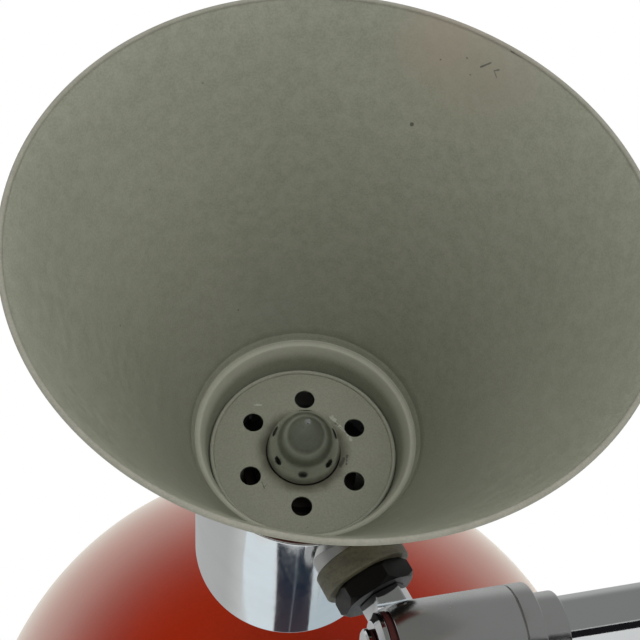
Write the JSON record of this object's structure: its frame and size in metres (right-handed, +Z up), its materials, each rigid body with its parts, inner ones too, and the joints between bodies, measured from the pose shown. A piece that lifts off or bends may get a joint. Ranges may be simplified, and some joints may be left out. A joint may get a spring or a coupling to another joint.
{
  "type": "wall lamp",
  "caption": "Wall lamp with a domed canopy, a folding chrome swing arm and a cone-shaped swivelling head that has a push-button switch on its back.",
  "frame": {"origin": "centre of the canopy's wall plate, on the wall", "axes": "+Z up, -Y out of the wall, +X to the right of someone who faces the wall"},
  "size_m": [0.3253, 0.2895, 0.216],
  "materials": {
    "chrome": "polished chrome plate",
    "canopy_enamel": "glossy red-orange enamel",
    "shade_enamel": "satin grey-green enamel inside and on the rim, worn; glossy red-orange enamel outside",
    "black_steel": "blackened steel",
    "zinc_steel": "zinc-plated steel",
    "fibre": "pressed fibre",
    "red_fibre": "red fibre and pale nylon",
    "grommet_rubber": "black rubber",
    "laminations": "varnished laminated iron",
    "winding": "taped copper winding",
    "terminal_plastic": "pale moulded plastic",
    "bakelite": "black bakelite",
    "silvered_glass": "mirror-coated glass",
    "cap_brass": "drawn brass",
    "nylon": "pale moulded plastic"
  },
  "bodies": {
    "wall_canopy": {"wall_plate": "zinc_steel", "cable_grommet": "grommet_rubber", "post_bracket": "zinc_steel", "canopy_dome": "canopy_enamel", "canopy_screws": "zinc_steel", "canopy_collar": "chrome", "shoulder_post": "chrome", "post_washer": "zinc_steel", "post_nuts": "zinc_steel", "transformer_core": "laminations", "transformer_coil": "winding", "transformer_screws": "zinc_steel", "terminal_block": "terminal_plastic", "shoulder_stud": "zinc_steel", "shoulder_washers": "zinc_steel", "shoulder_cap_nut": "chrome"},
    "lower_arm": {"shoulder_eye": "chrome", "lower_arm_tube": "chrome", "lower_elbow_eye": "chrome", "elbow_stud": "zinc_steel", "elbow_washers": "zinc_steel", "elbow_cap_nuts": "chrome"},
    "upper_arm": {"upper_elbow_eye": "chrome", "upper_arm_tube": "chrome", "arm_collar": "chrome", "sleeve_cap": "chrome", "arm_sleeve": "chrome", "knuckle_screw": "chrome", "knuckle_washers": "red_fibre"},
    "swivel_knuckle": {"knuckle": "chrome", "fibre_washer": "fibre", "swivel_nut": "black_steel", "stud_inner_nut": "zinc_steel"},
    "lamp_head": {"saddle_washer": "zinc_steel", "neck": "chrome", "neck_screws": "zinc_steel", "shade_carrier": "zinc_steel", "shade": "shade_enamel", "vent_plate": "shade_enamel", "lampholder": "bakelite", "lampholder_legs": "zinc_steel", "bulb": "silvered_glass", "bulb_cap": "cap_brass", "rear_cap": "chrome", "switch_body": "nylon", "switch_ring_nut": "chrome"},
    "push_button": {"switch_button": "bakelite"}
  },
  "joints": [
    {"name": "shoulder_swing", "type": "hinge", "parent": "wall_canopy", "child": "lower_arm", "pos_m": [0, -0.1223, -0.0418], "axis": [0, 0, 1], "range_deg": [-60, 40]},
    {"name": "elbow_swing", "type": "hinge", "parent": "lower_arm", "child": "upper_arm", "pos_m": [0.20497, -0.20222, -0.0225], "axis": [0, 0, 1], "range_deg": [-1, 180]},
    {"name": "head_tilt", "type": "hinge", "parent": "upper_arm", "child": "swivel_knuckle", "pos_m": [0.00777, -0.20222, -0.0225], "axis": [1, 0, 0], "range_deg": [-15, 90]},
    {"name": "head_swivel", "type": "hinge", "parent": "swivel_knuckle", "child": "lamp_head", "pos_m": [-0.007, -0.20222, 0.02464], "axis": [0.299, 0, -0.9542], "range_deg": [-90, 90]},
    {"name": "switch_press", "type": "slide", "parent": "lamp_head", "child": "push_button", "axis": [0, -1, 0], "range_m": [0, 0.003], "stiffness_N_per_m": 600}
  ]
}
